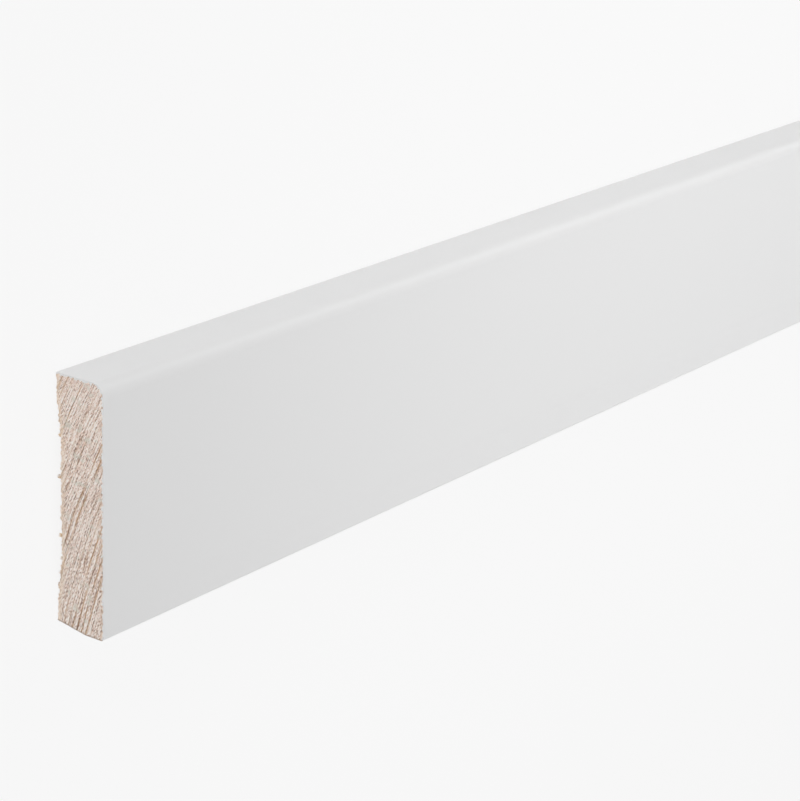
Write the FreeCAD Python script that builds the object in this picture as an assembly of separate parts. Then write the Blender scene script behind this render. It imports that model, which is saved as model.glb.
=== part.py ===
import FreeCAD, Part
import math
import os

# A length of skirting board in solid pine, run through a moulder as one piece and sawn square at both ends.
# It lies flat on its back. X runs along it, +Y points from its floor edge to its rounded top edge,
# and +Z out of its painted face. The origin is on the plane of the back, at the middle of the board.

# Driving sizes, in millimetres
BOARD_LENGTH = 2400.0
BOARD_HEIGHT = 56.0
BOARD_THICKNESS = 13.0

# Round between the face and the top edge, and the eased corner between the face and the foot
NOSE_RADIUS = 3.0
FOOT_CORNER_RADIUS = 0.8

# Flat strip that stands on the floor, measured from the face, and the lift of the edge behind it in degrees
FOOT_WIDTH = 5.0
UNDERCUT_ANGLE = 9.0

# Shallow relief in the back, between the two flat lands that touch the wall
UPPER_LAND_WIDTH = 5.5
LOWER_LAND_WIDTH = 4.2
RELIEF_DEPTH = 1.2
RELIEF_SHOULDER_RADIUS = 60.0

# Levels across the section that follow from the sizes above
TOP_Y = BOARD_HEIGHT / 2
FOOT_Y = -BOARD_HEIGHT / 2
FOOT_BACK_Z = BOARD_THICKNESS - FOOT_WIDTH
BACK_CORNER_Y = FOOT_Y + FOOT_BACK_Z * math.tan(math.radians(UNDERCUT_ANGLE))
RELIEF_TOP_Y = TOP_Y - UPPER_LAND_WIDTH
RELIEF_BOTTOM_Y = BACK_CORNER_Y + LOWER_LAND_WIDTH


def section_point(y, z):
    """A point of the section, in the plane of the near sawn end."""
    return FreeCAD.Vector(-BOARD_LENGTH / 2, y, z)


def straight(start, finish):
    """A straight edge of the section."""
    return Part.LineSegment(section_point(*start), section_point(*finish)).toShape()


def corner_round(centre_y, centre_z, radius, first_angle, last_angle):
    """An arc of the section about a centre, with angles in degrees from +Y towards +Z."""
    angles = (first_angle, (first_angle + last_angle) / 2, last_angle)
    points = []
    for angle in angles:
        turn = math.radians(angle)
        points.append(section_point(centre_y + radius * math.cos(turn), centre_z + radius * math.sin(turn)))
    return Part.Arc(*points).toShape()


def front_edges():
    """The top edge, the nose, the flat face and its eased lower corner, down to the foot."""
    nose_y = TOP_Y - NOSE_RADIUS
    nose_z = BOARD_THICKNESS - NOSE_RADIUS
    corner_y = FOOT_Y + FOOT_CORNER_RADIUS
    corner_z = BOARD_THICKNESS - FOOT_CORNER_RADIUS
    return [
        straight((TOP_Y, 0), (TOP_Y, nose_z)),
        corner_round(nose_y, nose_z, NOSE_RADIUS, 0, 90),
        straight((nose_y, BOARD_THICKNESS), (corner_y, BOARD_THICKNESS)),
        corner_round(corner_y, corner_z, FOOT_CORNER_RADIUS, 90, 180),
    ]


def floor_edges():
    """The flat foot, and the undercut that lifts the edge clear of an uneven floor behind it."""
    corner_z = BOARD_THICKNESS - FOOT_CORNER_RADIUS
    return [
        straight((FOOT_Y, corner_z), (FOOT_Y, FOOT_BACK_Z)),
        straight((FOOT_Y, FOOT_BACK_Z), (BACK_CORNER_Y, 0)),
    ]


def back_edges():
    """The two lands, and the relief between them with a long curved shoulder at each side."""
    shoulder_turn = math.degrees(math.acos(1 - RELIEF_DEPTH / RELIEF_SHOULDER_RADIUS))
    shoulder_run = RELIEF_SHOULDER_RADIUS * math.sin(math.radians(shoulder_turn))
    centre_z = RELIEF_DEPTH - RELIEF_SHOULDER_RADIUS
    lower_y = RELIEF_BOTTOM_Y + shoulder_run
    upper_y = RELIEF_TOP_Y - shoulder_run
    return [
        straight((BACK_CORNER_Y, 0), (RELIEF_BOTTOM_Y, 0)),
        corner_round(lower_y, centre_z, RELIEF_SHOULDER_RADIUS, 90 + shoulder_turn, 90),
        straight((lower_y, RELIEF_DEPTH), (upper_y, RELIEF_DEPTH)),
        corner_round(upper_y, centre_z, RELIEF_SHOULDER_RADIUS, 90, 90 - shoulder_turn),
        straight((RELIEF_TOP_Y, 0), (TOP_Y, 0)),
    ]


def skirting_board():
    """The whole board: its section run from one sawn end to the other."""
    outline = Part.Wire(front_edges() + floor_edges() + back_edges())
    return Part.Face(outline).extrude(FreeCAD.Vector(BOARD_LENGTH, 0, 0))


os.makedirs("parts", exist_ok=True)
board = skirting_board()
board.exportStep("parts/skirting_board.step")
print("skirting_board", round(board.Volume, 1), "mm3", board.BoundBox)
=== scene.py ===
import math
import random

import bmesh
import bpy
from mathutils import Matrix, Vector, noise


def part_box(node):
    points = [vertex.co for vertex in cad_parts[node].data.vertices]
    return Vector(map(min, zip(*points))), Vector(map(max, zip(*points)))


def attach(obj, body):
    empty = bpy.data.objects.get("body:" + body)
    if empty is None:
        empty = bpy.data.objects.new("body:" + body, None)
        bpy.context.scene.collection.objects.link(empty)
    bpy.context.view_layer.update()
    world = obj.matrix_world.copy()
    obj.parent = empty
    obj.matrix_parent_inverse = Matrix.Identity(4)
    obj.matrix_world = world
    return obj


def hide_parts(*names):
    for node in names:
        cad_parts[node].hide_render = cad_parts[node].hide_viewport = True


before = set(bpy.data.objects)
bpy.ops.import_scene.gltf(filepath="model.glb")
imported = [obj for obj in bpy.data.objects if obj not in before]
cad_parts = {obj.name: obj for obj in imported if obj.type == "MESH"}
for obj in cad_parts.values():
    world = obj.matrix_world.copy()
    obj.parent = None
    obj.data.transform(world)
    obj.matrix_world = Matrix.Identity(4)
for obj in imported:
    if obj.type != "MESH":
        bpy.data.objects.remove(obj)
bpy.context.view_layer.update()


# The skirting board
# One length of solid pine, planed to its section in a moulder, painted white, and sawn square at both ends.
# The section starts as a fine grid at the near end, because the sawn ends need a mesh for their torn fibres,
# and its corners are cut to shape with planes.
board_low, board_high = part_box("skirting_board")
LENGTH, HEIGHT, THICKNESS = board_high - board_low
GRID_PITCH = 0.00018
NOSE_RADIUS = 0.003
NOSE_CUTS = 14
FOOT_CORNER_RADIUS = 0.0008
FOOT_CORNER_CUTS = 6
FOOT_WIDTH = 0.005
UNDERCUT_ANGLE = math.radians(9)

bpy.ops.object.select_all(action="DESELECT")
bpy.ops.mesh.primitive_grid_add(
    x_subdivisions=round(THICKNESS / GRID_PITCH), y_subdivisions=round(HEIGHT / GRID_PITCH), size=1,
    location=(board_low.x, 0, THICKNESS / 2), rotation=(0, -math.pi / 2, 0))
board = bpy.context.object
board.name = "skirting_board_length"
board.scale = (THICKNESS, HEIGHT, 1)
bpy.ops.object.transform_apply(location=True, rotation=True, scale=True)


def cut(place, facing, clear=True):
    """Cuts the whole mesh along a plane, and takes away what lies on the side that the plane faces."""
    bpy.ops.mesh.select_all(action="SELECT")
    bpy.ops.mesh.bisect(plane_co=place, plane_no=facing, clear_outer=clear, use_fill=False, threshold=1e-7)


def round_corner(edge_y, towards_y, radius, cuts):
    """Rounds a front corner with cuts that touch its arc; towards_y is 1 at the top edge, -1 at the foot."""
    centre = Vector((0, edge_y - towards_y * radius, THICKNESS - radius))
    for number in range(cuts):
        turn = math.pi / 2 * (number + 0.5) / cuts
        facing = Vector((0, towards_y * math.sin(turn), math.cos(turn)))
        cut(centre + facing * radius, facing)


bpy.ops.object.mode_set(mode="EDIT")
round_corner(board_high.y, 1, NOSE_RADIUS, NOSE_CUTS)
round_corner(board_low.y, -1, FOOT_CORNER_RADIUS, FOOT_CORNER_CUTS)
foot_back_z = THICKNESS - FOOT_WIDTH
cut((0, board_low.y, foot_back_z), (0, -math.cos(UNDERCUT_ANGLE), -math.sin(UNDERCUT_ANGLE)))
bpy.ops.object.mode_set(mode="OBJECT")

# The relief in the back, between two flat lands. The grid is pressed in from the back, and not at the face.
UPPER_LAND_WIDTH = 0.0055
LOWER_LAND_WIDTH = 0.0042
RELIEF_DEPTH = 0.0012
RELIEF_SHOULDER_RADIUS = 0.060
relief_low = board_low.y + foot_back_z * math.tan(UNDERCUT_ANGLE) + LOWER_LAND_WIDTH
relief_high = board_high.y - UPPER_LAND_WIDTH
shoulder_run = math.sqrt(2 * RELIEF_SHOULDER_RADIUS * RELIEF_DEPTH - RELIEF_DEPTH ** 2)


def relief_at(y):
    """How deep the relief is at a height on the board."""
    inside = min(y - relief_low, relief_high - y)
    if inside <= 0:
        return 0
    rest_of_shoulder = max(shoulder_run - inside, 0)
    rise = math.sqrt(RELIEF_SHOULDER_RADIUS ** 2 - rest_of_shoulder ** 2)
    return RELIEF_DEPTH - RELIEF_SHOULDER_RADIUS + rise


for point in board.data.vertices:
    point.co.z += relief_at(point.co.y) * (1 - point.co.z / THICKNESS)

# The section is run out to the board's length. A narrow ring of faces stays at each end, where fibres
# tear out, and between the two rings what lies flat becomes one face.
TORN_RING = 0.0005
CLEAN_RING = 0.003
FLAT_WITHIN = math.radians(0.05)


def corners_of(face):
    """The places of a face's corners, sorted, because the operators leave them in any order."""
    return sorted(corner.co[:] for corner in face.verts)


def middle_of(face):
    """The middle of a face's corners."""
    return sum((Vector(corner) for corner in corners_of(face)), Vector()) / len(face.verts)


def select_faces(wanted):
    """Selects only the faces of the board that pass a test, and tests them in order of their place."""
    bpy.ops.mesh.select_all(action="DESELECT")
    mesh = bmesh.from_edit_mesh(board.data)
    for face in sorted(mesh.faces, key=corners_of):
        face.select_set(wanted(face, middle_of(face)))
    bmesh.update_edit_mesh(board.data)


bpy.ops.object.mode_set(mode="EDIT")
bpy.ops.mesh.select_mode(type="FACE")
bpy.ops.mesh.select_all(action="SELECT")
bpy.ops.mesh.extrude_region_move(TRANSFORM_OT_translate={"value": (LENGTH, 0, 0)})
bpy.ops.mesh.select_all(action="SELECT")
bpy.ops.mesh.normals_make_consistent(inside=False)
for side in (-1, 1):
    cut((side * (LENGTH / 2 - TORN_RING), 0, 0), (1, 0, 0), clear=False)
select_faces(lambda face, middle: abs(middle.x) < LENGTH / 2 - TORN_RING)
bpy.ops.mesh.dissolve_limited(angle_limit=FLAT_WITHIN)
for side in (-1, 1):
    cut((side * (LENGTH / 2 - CLEAN_RING), 0, 0), (1, 0, 0), clear=False)
bpy.ops.object.mode_set(mode="OBJECT")

# Growth rings: arcs about a heart that lies beyond the face and below the foot. Both bare woods follow them.
HEART_Y = -0.086
HEART_Z = 0.214
RING_SPACING = 0.00125
RING_WAVER = 0.0003
RING_WAVER_LENGTH = 0.022
RING_SEED = Vector((3.7, 1.9, 8.2))


def along_and_across(y, z):
    """Where a point of the section lies along the growth rings, in metres, and across them, in rings."""
    waver = RING_WAVER * noise.noise(Vector((0, y, z)) / RING_WAVER_LENGTH + RING_SEED)
    reach = math.hypot(y - HEART_Y, HEART_Z - z)
    return math.atan2(y - HEART_Y, HEART_Z - z) * HEART_Z, (reach + waver) / RING_SPACING


def paint_reach(y, z):
    """How far a point of the section lies inside the face, the nose and the top edge."""
    nose_y = y - (board_high.y - NOSE_RADIUS)
    nose_z = z - (THICKNESS - NOSE_RADIUS)
    if nose_y > 0 and nose_z > 0:
        return NOSE_RADIUS - math.hypot(nose_y, nose_z)
    return min(THICKNESS - z, board_high.y - y)


def foot_reach(y, z):
    """How far a point of the section lies above the foot and the undercut."""
    return y - board_low.y - max(foot_back_z - z, 0) * math.tan(UNDERCUT_ANGLE)


# The saw cut: soft spring wood is torn out between the harder summer wood, in tufts that follow the rings.
# Close to a painted edge the fibres hold, and only a part of them is torn.
SUMMER_WOOD_PLACE = 0.86
SPRING_WOOD_TEAR = 0.00010
TUFT_TEAR = 0.00014
TUFT_LENGTH = 0.0016
TUFT_WIDTH = 0.00042
TUFT_SEED = 5.3
HELD_BY_PAINT = 0.0005
PART_TORN_AT_PAINT = 0.25


def tear_at(y, z, side):
    """How deep the saw has torn the wood at a point of an end."""
    along, across = along_and_across(y, z)
    summer_wood = max(0, math.cos((across % 1 - SUMMER_WOOD_PLACE) * 2 * math.pi)) ** 2
    tufts = noise.noise(Vector((along / TUFT_LENGTH, across * RING_SPACING / TUFT_WIDTH, side * TUFT_SEED)))
    loose = min(1, PART_TORN_AT_PAINT + min(paint_reach(y, z), foot_reach(y, z)) / HELD_BY_PAINT)
    return loose * (SPRING_WOOD_TEAR * (1 - summer_wood) + TUFT_TEAR * max(0, 0.5 + tufts))


# The burr: wood that the saw pushed out past the back, into the room that the relief leaves
BURR_DEPTH = 0.0010
BURR_LIFT = 0.00045
BURR_LENGTH = 0.0022
BURR_SEED = 7.7
FINE_BURR_LENGTH = 0.00045
FINE_BURR_SEED = 4.4
LAND_CLEARANCE = 0.00004


def burr_at(y, z, side):
    """How far the burr stands out at a point of an end. It fades out over its depth."""
    lift = noise.noise(Vector((y / BURR_LENGTH, side * BURR_SEED, 0)))
    lift += noise.noise(Vector((y / FINE_BURR_LENGTH, side, FINE_BURR_SEED)))
    lift = min(max(BURR_LIFT * lift, -BURR_LIFT / 3), max(relief_at(y) - LAND_CLEARANCE, 0))
    return lift * max(0, 1 - (z - relief_at(y)) / BURR_DEPTH)


# The rims of the sawn ends are coloured by each point's distance from the paint, the back and the foot,
# which is kept on the mesh in millimetres
edge_reach = board.data.attributes.new("edge_reach", "FLOAT_VECTOR", "POINT")
for point in board.data.vertices:
    x, y, z = point.co
    reaches = Vector((paint_reach(y, z), z - relief_at(y), foot_reach(y, z)))
    edge_reach.data[point.index].vector = 1000 * reaches
    if LENGTH / 2 - abs(x) < TORN_RING / 2:
        side = math.copysign(1, x)
        point.co.x -= side * tear_at(y, z, side)
        point.co.z -= burr_at(y, z, side)


# Materials of the board
def srgb(hex_colour):
    """Turns an sRGB hex colour into the linear colour that the shaders take."""
    parts = [int(hex_colour[i:i + 2], 16) / 255 for i in (1, 3, 5)]
    linear = [p / 12.92 if p <= 0.04045 else ((p + 0.055) / 1.055) ** 2.4 for p in parts]
    return (*linear, 1)


def add_node(finish, kind, inputs=(), stops=(), **settings):
    """Adds a node with its settings, its inputs' values or links, and a ramp's stops; gives its outputs."""
    made = finish.node_tree.nodes.new("ShaderNode" + kind)
    for name, value in settings.items():
        setattr(made, name, value)
    named_inputs = inputs if isinstance(inputs, dict) else dict(enumerate(inputs))
    for name, value in named_inputs.items():
        if isinstance(value, bpy.types.NodeSocket):
            finish.node_tree.links.new(value, made.inputs[name])
        else:
            made.inputs[name].default_value = value
    if stops:
        while len(made.color_ramp.elements) < len(stops):
            made.color_ramp.elements.new(0.5)
        for element, (place, level) in zip(made.color_ramp.elements, stops):
            element.position = place
            element.color = srgb(level) if isinstance(level, str) else (level, level, level, 1)
    return made.outputs


def new_finish(name):
    """An empty material, and the place of a point of the board in millimetres."""
    finish = bpy.data.materials.new(name)
    finish.use_nodes = True
    finish.node_tree.nodes.clear()
    metres = add_node(finish, "TexCoord")["Object"]
    return finish, add_node(finish, "VectorMath", {0: metres, "Scale": 1000}, operation="SCALE")[0]


def layered(finish, level, layers):
    """Adds patterns to a level by their weights. Where all of them are at their middle, the level stays."""
    total = level - sum(weight for pattern, weight in layers) / 2
    for pattern, weight in layers:
        total = add_node(finish, "Math", [pattern, weight, total], operation="MULTIPLY_ADD")[0]
    return total


def ring_place(finish, place):
    """Where a point lies along the growth rings, in millimetres, and across them, in rings."""
    x, y, z = add_node(finish, "SeparateXYZ", [place])
    up = add_node(finish, "Math", [y, HEART_Y * 1000], operation="SUBTRACT")[0]
    out = add_node(finish, "Math", [HEART_Z * 1000, z], operation="SUBTRACT")[0]
    in_section = add_node(finish, "CombineXYZ", [up, out])[0]
    reach = add_node(finish, "VectorMath", [in_section], operation="LENGTH")["Value"]
    slow_along = add_node(finish, "VectorMath", [place, (0.1, 1, 1)], operation="MULTIPLY")[0]
    waver = add_node(finish, "TexNoise", {"Vector": slow_along, "Scale": 1 / (RING_WAVER_LENGTH * 1000)})[0]
    reach = add_node(finish, "Math", [waver, 4 * RING_WAVER * 1000, reach], operation="MULTIPLY_ADD")[0]
    across = add_node(finish, "Math", [reach, RING_SPACING * 1000], operation="DIVIDE")[0]
    turn = add_node(finish, "Math", [up, out], operation="ARCTAN2")[0]
    along = add_node(finish, "Math", [turn, HEART_Z * 1000], operation="MULTIPLY")[0]
    return along, across


# White paint, sprayed on at the factory and cured to a satin film: smooth, with a faint orange peel
PAINT_WHITE = srgb("#ededed")
PEEL_WIDTH_MM = 1.42857
PEEL_DEPTH_MM = 0.012
white_paint, place = new_finish("satin_white_paint")
peel = add_node(white_paint, "TexNoise", {"Vector": place, "Scale": 1 / PEEL_WIDTH_MM, "Detail": 3})[0]
gloss = add_node(white_paint, "MapRange", {"Value": peel, "To Min": 0.36, "To Max": 0.44})[0]
dimples = add_node(white_paint, "Bump", {"Height": peel, "Distance": PEEL_DEPTH_MM / 1000})[0]
shader = add_node(white_paint, "BsdfPrincipled", {
    "Base Color": PAINT_WHITE, "Roughness": gloss, "Normal": dimples})[0]
add_node(white_paint, "OutputMaterial", {"Surface": shader})

# Sawn end grain of pine: dull and pinkish beige, split and torn along the growth rings, and crossed by
# slanting marks of dragged fibres. The cut is rougher towards the foot, and cleaner by the top edge.
FLECK_WIDTH_MM = 2.0
PATCH_WIDTH_MM = 2.85714
RAG_WIDTH_MM = 0.90909
TEAR_DEPTH_MM = 0.12
sawn_pine, place = new_finish("sawn_pine_end_grain")
run, height, off_wall = add_node(sawn_pine, "SeparateXYZ", [place])
along, across = ring_place(sawn_pine, place)


def streaks(length_mm, width_mm, detail=1, tilt=0.0):
    """Noise drawn out along the growth rings, or at a slope to them."""
    up_ring = add_node(sawn_pine, "Math", [along, length_mm], operation="DIVIDE")[0]
    per_ring = RING_SPACING * 1000 / width_mm
    through_ring = add_node(sawn_pine, "Math", [across, per_ring], operation="MULTIPLY")[0]
    sloped = add_node(sawn_pine, "Math", [along, tilt / width_mm, through_ring], operation="MULTIPLY_ADD")[0]
    into_board = add_node(sawn_pine, "Math", [run, 0.05], operation="MULTIPLY")[0]
    drawn_out = add_node(sawn_pine, "CombineXYZ", [up_ring, sloped, into_board])[0]
    return add_node(sawn_pine, "TexNoise", {"Vector": drawn_out, "Scale": 1, "Detail": detail})[0]


# The split lines along the rings are painted light and shade: a dark line of painted shade with a painted
# highlight beside it, as a torn edge looks in light from one side.
split_shade_and_highlight = add_node(sawn_pine, "ValToRGB", [streaks(10.0, 0.42)], stops=(
    (0.42, 0.5), (0.48, 0.0), (0.53, 1.0), (0.58, 0.5)))[0]
fine_lines = streaks(7.0, 0.2, detail=2)
tone = layered(sawn_pine, 0.71, ((split_shade_and_highlight, 0.8), (fine_lines, 2.5)))
# Lighter and darker specks of torn fibres and marks of dragged fibres. Their dark specks are partly painted
# shade in the torn pits, and they grow stronger towards the foot.
torn_specks = streaks(0.6, 0.18, detail=2)
dragged_fibres = streaks(1.4, 0.22, tilt=0.5)
torn_marks_and_pit_shade = layered(sawn_pine, 0.0, ((torn_specks, 2.8), (dragged_fibres, 1.6)))
rougher_cut = add_node(sawn_pine, "MapRange", {
    "Value": height, "From Min": -24.0, "From Max": 10.0, "To Min": 1.35, "To Max": 1.05})[0]
tone = add_node(sawn_pine, "Math", [torn_marks_and_pit_shade, rougher_cut, tone], operation="MULTIPLY_ADD")[0]
pine = add_node(sawn_pine, "ValToRGB", [tone], stops=(
    (0.0, "#8c7466"), (0.25, "#c2a694"), (0.5, "#e8cdbf"), (0.72, "#f6e1d5"), (0.88, "#fff9f3")))[0]

# Its summer wood: brown, in the last third of each ring, stronger in some rings, and broken along the ring
part_of_ring = add_node(sawn_pine, "Math", [across], operation="FRACT")[0]
summer = add_node(sawn_pine, "ValToRGB", [part_of_ring], stops=(
    (0.64, 0.0), (0.8, 1.0), (0.93, 1.0), (1.0, 0.0)))[0]
ring_number = add_node(sawn_pine, "Math", [across], operation="FLOOR")[0]
ring_strength = add_node(sawn_pine, "TexWhiteNoise", {"W": ring_number}, noise_dimensions="1D")["Value"]
ring_strength = add_node(sawn_pine, "ValToRGB", [ring_strength], stops=((0.25, 0.3), (0.7, 1.0)))[0]
breaks = add_node(sawn_pine, "ValToRGB", [streaks(8.0, 1.0)], stops=((0.38, 0.45), (0.52, 1.0)))[0]
ring_strength = add_node(sawn_pine, "Math", [ring_strength, breaks], operation="MULTIPLY")[0]
summer = add_node(sawn_pine, "Math", [summer, ring_strength], operation="MULTIPLY")[0]
summer_pine = add_node(sawn_pine, "ValToRGB", [tone], stops=(
    (0.0, "#64462a"), (0.4, "#9b734c"), (0.8, "#cba47c")))[0]
pine = add_node(sawn_pine, "Mix", {0: summer, 6: pine, 7: summer_pine}, data_type="RGBA")[2]

# Its pale flecks of crushed fibres, and the calmer colour by the top edge
flecks = add_node(sawn_pine, "TexNoise", {"Vector": place, "Scale": 1 / FLECK_WIDTH_MM, "Detail": 1})[0]
flecks = add_node(sawn_pine, "ValToRGB", [flecks], stops=((0.6, 0.0), (0.71, 0.65)))[0]
pine = add_node(sawn_pine, "Mix", {0: flecks, 6: pine, 7: srgb("#dcd9cd")}, data_type="RGBA")[2]
cleaner_cut = add_node(sawn_pine, "MapRange", {
    "Value": height, "From Min": 21.0, "From Max": 26.0, "To Min": 0.0, "To Max": 0.2})[0]
pine = add_node(sawn_pine, "Mix", {0: cleaner_cut, 6: pine, 7: srgb("#e9d6cc")}, data_type="RGBA")[2]

# Its rims: a warmer one at the back, a darker one along the foot, tan patches by the face, and the ragged
# edge of the paint film
reaches = add_node(sawn_pine, "Attribute", attribute_name="edge_reach")["Vector"]
from_paint, from_back, from_foot = add_node(sawn_pine, "SeparateXYZ", [reaches])
rag = add_node(sawn_pine, "TexNoise", {
    "Vector": place, "Scale": 1 / RAG_WIDTH_MM, "Detail": 3, "Roughness": 0.6})[0]
back_rim = add_node(sawn_pine, "Math", [rag, 2.4, from_back], operation="MULTIPLY_ADD")[0]
back_rim = add_node(sawn_pine, "MapRange", {
    "Value": back_rim, "From Min": 1.7, "From Max": 2.5, "To Min": 0.5, "To Max": 0.0})[0]
pine = add_node(sawn_pine, "Mix", {0: back_rim, 6: pine, 7: srgb("#f4e2cd")}, data_type="RGBA")[2]
foot_rim = add_node(sawn_pine, "MapRange", {
    "Value": from_foot, "From Min": 0.0, "From Max": 0.4, "To Min": 0.9, "To Max": 0.0})[0]
pine = add_node(sawn_pine, "Mix", {0: foot_rim, 6: pine, 7: srgb("#a08d7e")}, data_type="RGBA")[2]
front_rim = add_node(sawn_pine, "MapRange", {
    "Value": off_wall, "From Min": 11.4, "From Max": 12.3, "To Min": 0.0, "To Max": 0.32})[0]
patches = add_node(sawn_pine, "TexNoise", {"Vector": place, "Scale": 1 / PATCH_WIDTH_MM, "Detail": 1})[0]
patches = add_node(sawn_pine, "ValToRGB", [patches], stops=((0.44, 0.0), (0.56, 1.0)))[0]
front_rim = add_node(sawn_pine, "Math", [front_rim, patches], operation="MULTIPLY")[0]
pine = add_node(sawn_pine, "Mix", {0: front_rim, 6: pine, 7: srgb("#bf9a7a")}, data_type="RGBA")[2]
film_edge = add_node(sawn_pine, "Math", [rag, 2.1, -0.6], operation="MULTIPLY_ADD")[0]
film_edge = add_node(sawn_pine, "Math", [film_edge, 0.1], operation="MAXIMUM")[0]
film = add_node(sawn_pine, "Math", [from_paint, film_edge], operation="LESS_THAN")[0]
pine = add_node(sawn_pine, "Mix", {0: film, 6: pine, 7: PAINT_WHITE}, data_type="RGBA")[2]
tears = add_node(sawn_pine, "Bump", {"Height": tone, "Distance": TEAR_DEPTH_MM / 1000, "Strength": 0.6})[0]
shader = add_node(sawn_pine, "BsdfPrincipled", {"Base Color": pine, "Roughness": 0.85, "Normal": tears})[0]
add_node(sawn_pine, "OutputMaterial", {"Surface": shader})

# Planed pine: the bare back, straight grained, cream with tan summer wood, long fibres, short dark resin
# canals, and the ripple that the planer's knives leave
KNIFE_MARK_SPACING_MM = 1.6
RIPPLE_DEPTH_MM = 0.03
planed_pine, place = new_finish("planed_pine_back")
run = add_node(planed_pine, "SeparateXYZ", [place])["X"]
along, across = ring_place(planed_pine, place)


def fibres(length_mm, width_mm, detail):
    """Noise drawn out along the board."""
    drawn_out = add_node(planed_pine, "VectorMath", [
        place, (length_mm, width_mm, width_mm)], operation="DIVIDE")[0]
    return add_node(planed_pine, "TexNoise", {
        "Vector": drawn_out, "Scale": 1, "Detail": detail, "Roughness": 0.6})[0]


part_of_ring = add_node(planed_pine, "Math", [across], operation="FRACT")[0]
summer = add_node(planed_pine, "ValToRGB", [part_of_ring], stops=(
    (0.0, 0.1), (0.08, 0.0), (0.4, 0.0), (0.8, 0.5), (0.94, 1.0), (1.0, 0.1)))[0]
long_fibres = fibres(33.3333, 0.333333, detail=3)
broad_bands = fibres(250.0, 12.5, detail=1)
tone = layered(planed_pine, 0.555, ((summer, 0.55), (long_fibres, 0.7), (broad_bands, 0.5)))
wood = add_node(planed_pine, "ValToRGB", [tone], stops=(
    (0.0, "#f2dfc6"), (0.35, "#e8cfac"), (0.7, "#d6ae80"), (1.0, "#bb8a58")))[0]
canals = fibres(8.33333, 0.222222, detail=0)
canals = add_node(planed_pine, "ValToRGB", [canals], stops=((0.7, 0.0), (0.78, 0.45)))[0]
wood = add_node(planed_pine, "Mix", {0: canals, 6: wood, 7: srgb("#9a6d45")}, data_type="RGBA")[2]
turn_per_mm = 2 * math.pi / KNIFE_MARK_SPACING_MM
ripple = add_node(planed_pine, "Math", [run, turn_per_mm], operation="MULTIPLY")[0]
ripple = add_node(planed_pine, "Math", [ripple], operation="SINE")[0]
ripple = add_node(planed_pine, "Math", [ripple, 0.12, tone], operation="MULTIPLY_ADD")[0]
ripple = add_node(planed_pine, "Bump", {
    "Height": ripple, "Distance": RIPPLE_DEPTH_MM / 1000, "Strength": 0.5})[0]
shader = add_node(planed_pine, "BsdfPrincipled", {
    "Base Color": wood, "Roughness": 0.62, "Normal": ripple})[0]
add_node(planed_pine, "OutputMaterial", {"Surface": shader})

# The faces of a sawn end lean along the board and are small, with a few corners each. A long face that runs
# up to them may lean as well, but it has many corners.
END_LEAN = 0.3
MOST_END_CORNERS = 8
for finish in (white_paint, sawn_pine, planed_pine):
    board.data.materials.append(finish)
for face in board.data.polygons:
    in_ring = LENGTH / 2 - abs(face.center.x) < TORN_RING
    if in_ring and abs(face.normal.x) > END_LEAN and len(face.vertices) <= MOST_END_CORNERS:
        face.material_index = 1
    elif face.normal.z < -0.5:
        face.material_index = 2

# Fibres that the saw left hanging on the back edge of each cut, and shorter ones on the edge over the
# undercut. A few hang together in tufts, each at its height and with its share of a full tuft's length.
HANGING_TUFTS = (
    (0.0146, 0.6), (0.0054, 1.0), (-0.0075, 0.8), (-0.0125, 0.5),
    (-0.0158, 0.45), (-0.0184, 0.5), (-0.0191, 0.5))
TUFT_HALF_WIDTH = 0.0004
FIBRE_SHARE = 0.16
LEAST_RELIEF = 0.0003
BACK_LEAN = 0.3
fibre_draw = random.Random(12)


def tuft_share(place):
    """The share of a full tuft that hangs at a point, or 0. The far end has them the other way up."""
    height_here = place.y if place.x < 0 else -place.y
    for tuft_height, share in HANGING_TUFTS:
        if abs(height_here - tuft_height) < TUFT_HALF_WIDTH:
            return share
    return 0


def bears_fibre(face, middle):
    """Picks faces of the two torn rings, in the relief and under the foot."""
    reach_along = max(corner.co.x for corner in face.verts) - min(corner.co.x for corner in face.verts)
    in_ring = LENGTH / 2 - TORN_RING < abs(middle.x) and reach_along > TORN_RING * 0.4
    relief = relief_at(middle.y)
    in_relief = face.normal.z < -BACK_LEAN and relief > LEAST_RELIEF and middle.z < relief + GRID_PITCH
    behind_foot = middle.z < foot_back_z and foot_reach(middle.y, middle.z) < GRID_PITCH
    in_undercut = face.normal.y < -0.5 and behind_foot
    if not in_ring or not (in_relief or in_undercut):
        return False
    return fibre_draw.random() < FIBRE_SHARE or (in_relief and tuft_share(middle) > 0)


# A fibre is drawn out in three steps, its root, stem and tip: about how far, and to what share of its width.
# It leans at random along each axis. A tuft's fibres are longer, and lean less.
FIBRE_STEPS = ((0.00004, 0.6), (0.00022, 0.6), (0.00018, 0.35))
FIBRE_LEAN = (0.5, 0.6, 0.3)
TUFT_LEAN = 0.4
LONE_REACH = (0.3, 1.0)
TUFT_REACH = (1.8, 3.2)


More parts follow.
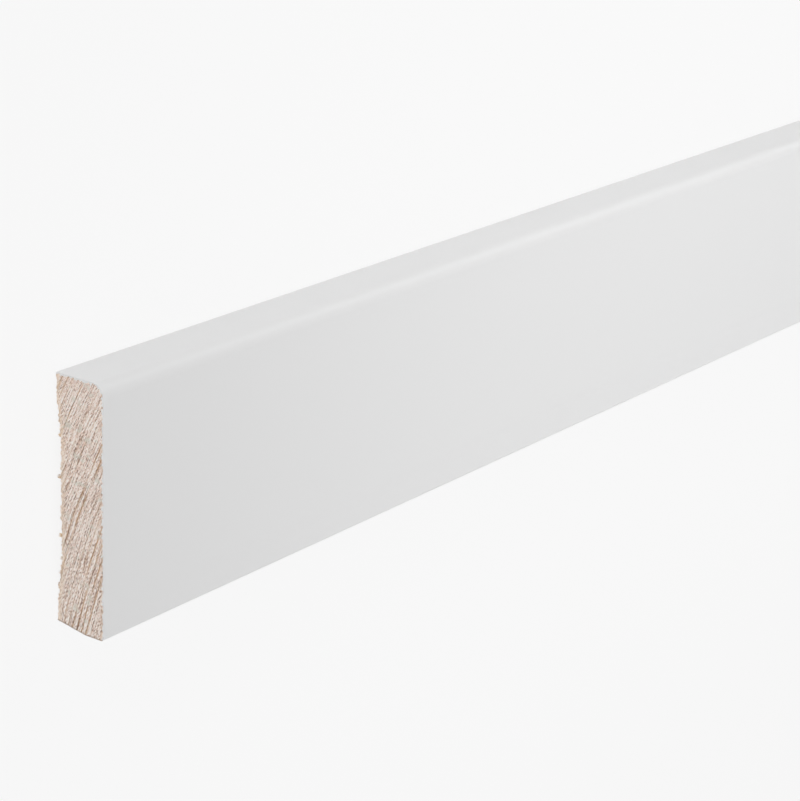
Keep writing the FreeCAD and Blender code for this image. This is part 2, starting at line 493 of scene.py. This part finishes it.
def draw_out_fibres(reach, width):
    """Draws each selected face out by itself to about reach, and narrows it to a share of its width."""
    bpy.ops.mesh.extrude_faces_move(MESH_OT_extrude_faces_indiv={}, TRANSFORM_OT_shrink_fatten={"value": 0})
    mesh = bmesh.from_edit_mesh(board.data)
    for face in sorted((face for face in mesh.faces if face.select), key=corners_of):
        middle = middle_of(face)
        out = Vector((0, 0, -1)) if face.normal.z < -BACK_LEAN else Vector((0, -1, 0))
        lean = Vector([fibre_draw.uniform(-most, most) for most in FIBRE_LEAN])
        share = tuft_share(middle)
        length = share * fibre_draw.uniform(*TUFT_REACH) if share else fibre_draw.uniform(*LONE_REACH)
        tip = middle + (out + lean * (TUFT_LEAN if share else 1)) * (reach * length)
        tip.z = max(tip.z, LAND_CLEARANCE)
        for corner in face.verts:
            corner.co = tip + (corner.co - middle) * (math.sqrt(width) if share else width)
            corner.co.x = max(-LENGTH / 2, min(LENGTH / 2, corner.co.x))
            corner.co.y = max(corner.co.y, board_low.y)
            corner.co.z = max(corner.co.z, board_low.z)
    bmesh.update_edit_mesh(board.data)


bpy.ops.object.mode_set(mode="EDIT")
select_faces(bears_fibre)
for reach, width in FIBRE_STEPS:
    draw_out_fibres(reach, width)
bpy.ops.object.mode_set(mode="OBJECT")

bpy.ops.object.shade_smooth_by_angle(angle=math.radians(30))
bpy.ops.object.modifier_add(type="WEIGHTED_NORMAL")
board.modifiers["WeightedNormal"].keep_sharp = True
bpy.ops.object.modifier_apply(modifier="WeightedNormal")

# A flat layout of the board's faces for pictures of its materials: the two ends large, the sides in strips
STRIPS = {
    "near end": (0.760, 0.990), "far end": (0.515, 0.745), "front": (0.310, 0.500),
    "top edge": (0.235, 0.295), "foot": (0.160, 0.220), "back": (0.010, 0.145)}
STRIP_LENGTH = 0.98
STRIP_MARGIN = 0.01
layout = board.data.uv_layers.new(name="OFBake")


def place_in_layout(face, corner):
    """Where a corner of a face goes in the layout."""
    along_strip = (corner.x - board_low.x) / LENGTH
    up_board = (corner.y - board_low.y) / HEIGHT
    through_board = corner.z / THICKNESS
    if abs(face.normal.x) > END_LEAN:
        strip = "near end" if face.center.x < 0 else "far end"
        along_strip, across_strip = up_board, through_board
    elif abs(face.normal.y) > 0.7:
        strip, across_strip = "top edge" if face.normal.y > 0 else "foot", through_board
    else:
        strip, across_strip = "front" if face.normal.z > 0 else "back", up_board
    low, high = STRIPS[strip]
    return STRIP_MARGIN + STRIP_LENGTH * along_strip, low + (high - low) * across_strip


for face in board.data.polygons:
    for loop in face.loop_indices:
        corner = board.data.vertices[board.data.loops[loop].vertex_index].co
        layout.uv[loop].vector = place_in_layout(face, corner)

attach(board, "root")
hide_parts("skirting_board")


# Floor
# A matt pale sheet whose edges are out of sight. What the camera and the reflections see of it is mostly an
# even glow, and the rest takes light and so keeps the board's faint shadow.
FLOOR_SIZE = 80
FLOOR_COLOUR = srgb("#f8f8f8")
GLOW_COLOUR = srgb("#fafafa")
SHADOW_SHARE = 0.1
bpy.ops.mesh.primitive_plane_add(size=FLOOR_SIZE, location=(0, 0, 0))
floor = bpy.context.object
floor.name = "floor"
floor_paper = bpy.data.materials.new("pale_floor")
floor_paper.use_nodes = True
floor_paper.node_tree.nodes.clear()


def in_plain_sight(surroundings):
    """1 for what is seen straight, in a reflection or through glass, and 0 for what lights the board."""
    ray = add_node(surroundings, "LightPath")
    seen = add_node(surroundings, "Math", [ray["Is Camera Ray"], ray["Is Glossy Ray"]], operation="MAXIMUM")
    return add_node(surroundings, "Math", [seen[0], ray["Is Transmission Ray"]], operation="MAXIMUM")[0]


glow_share = add_node(
    floor_paper, "Math", [in_plain_sight(floor_paper), 1 - SHADOW_SHARE], operation="MULTIPLY")[0]
glow = add_node(floor_paper, "Emission", {"Color": GLOW_COLOUR, "Strength": 1.0})[0]
matt = add_node(floor_paper, "BsdfDiffuse", {"Color": FLOOR_COLOUR})[0]
both = add_node(floor_paper, "MixShader", [glow_share, matt, glow])[0]
add_node(floor_paper, "OutputMaterial", {"Surface": both})
floor.data.materials.append(floor_paper)

# World: the room, which lights the board evenly and is seen as pale as the floor
ROOM_LIGHT = 0.574
ROOM_SEEN = 0.97
room = bpy.data.worlds.new("pale_room")
bpy.context.scene.world = room
room.use_nodes = True
room.node_tree.nodes.clear()
room_level = add_node(
    room, "Math", [in_plain_sight(room), ROOM_SEEN - ROOM_LIGHT, ROOM_LIGHT], operation="MULTIPLY_ADD")[0]
walls = add_node(room, "Background", {"Color": FLOOR_COLOUR, "Strength": room_level})[0]
add_node(room, "OutputWorld", {"Surface": walls})


# Lamps
def softbox(name, place, aim, size, watts, spread=180):
    """A rectangular lamp with a soft edge to its light, turned towards a point of the board."""
    lamp = bpy.data.objects.new(name, bpy.data.lights.new(name, "AREA"))
    lamp.data.shape = "RECTANGLE"
    lamp.data.size, lamp.data.size_y = size
    lamp.data.energy = watts
    lamp.data.spread = math.radians(spread)
    lamp.location = place
    lamp.rotation_mode = "QUATERNION"
    lamp.rotation_quaternion = (Vector(aim) - Vector(place)).to_track_quat("-Z", "Y")
    bpy.context.scene.collection.objects.link(lamp)


# A gridded lamp straight above the board, whose light fades out over the first 0.2 m of it
softbox("overhead", (0.35, 0.1, 0.8), (0.35, 0.1, 0), (3.0, 0.4), 1.04, spread=30)
# Two lamps on the side of the top edge: a low one near by, and one far off, which leaves the soft highlight
# along the nose
softbox("top_edge_fill", (-1.75, 0.95, 0.32), (-1.15, 0, 0), (0.5, 0.25), 0.27, spread=60)
softbox("nose_highlight", (1.3, 1.6, 0.9), (-1.1, 0, 0), (1.0, 0.6), 7.6)
# A lamp in front of each sawn end; the far one is narrow, to leave the face and the nose as they are
softbox("near_end_fill", (-2.6, -0.7, 0.8), (-1.2, 0, 0), (1.0, 1.0), 6.8)
softbox("far_end_fill", (2.0, -0.4, 0.5), (1.2, 0, 0), (0.5, 0.5), 0.22, spread=40)

# Camera: a long lens, which looks down on the near end and along the face
LENS = 120.645
CAMERA_PLACE = Vector((-1.57726, 0.20221, 0.35860))
forward = Vector((0.76668, -0.32560, -0.55334)).normalized()
up = Vector((0.24236, 0.94487, -0.22020)).normalized()
camera_axes = Matrix((forward.cross(up), up, -forward)).transposed()
camera = bpy.data.objects.new("camera", bpy.data.cameras.new("camera"))
camera.data.lens = LENS
camera.data.sensor_width = 36
camera.data.clip_start = 0.01
camera.matrix_world = Matrix.Translation(CAMERA_PLACE) @ camera_axes.to_4x4()
bpy.context.scene.collection.objects.link(camera)
bpy.context.scene.camera = camera

bpy.context.scene.view_settings.view_transform = "Standard"
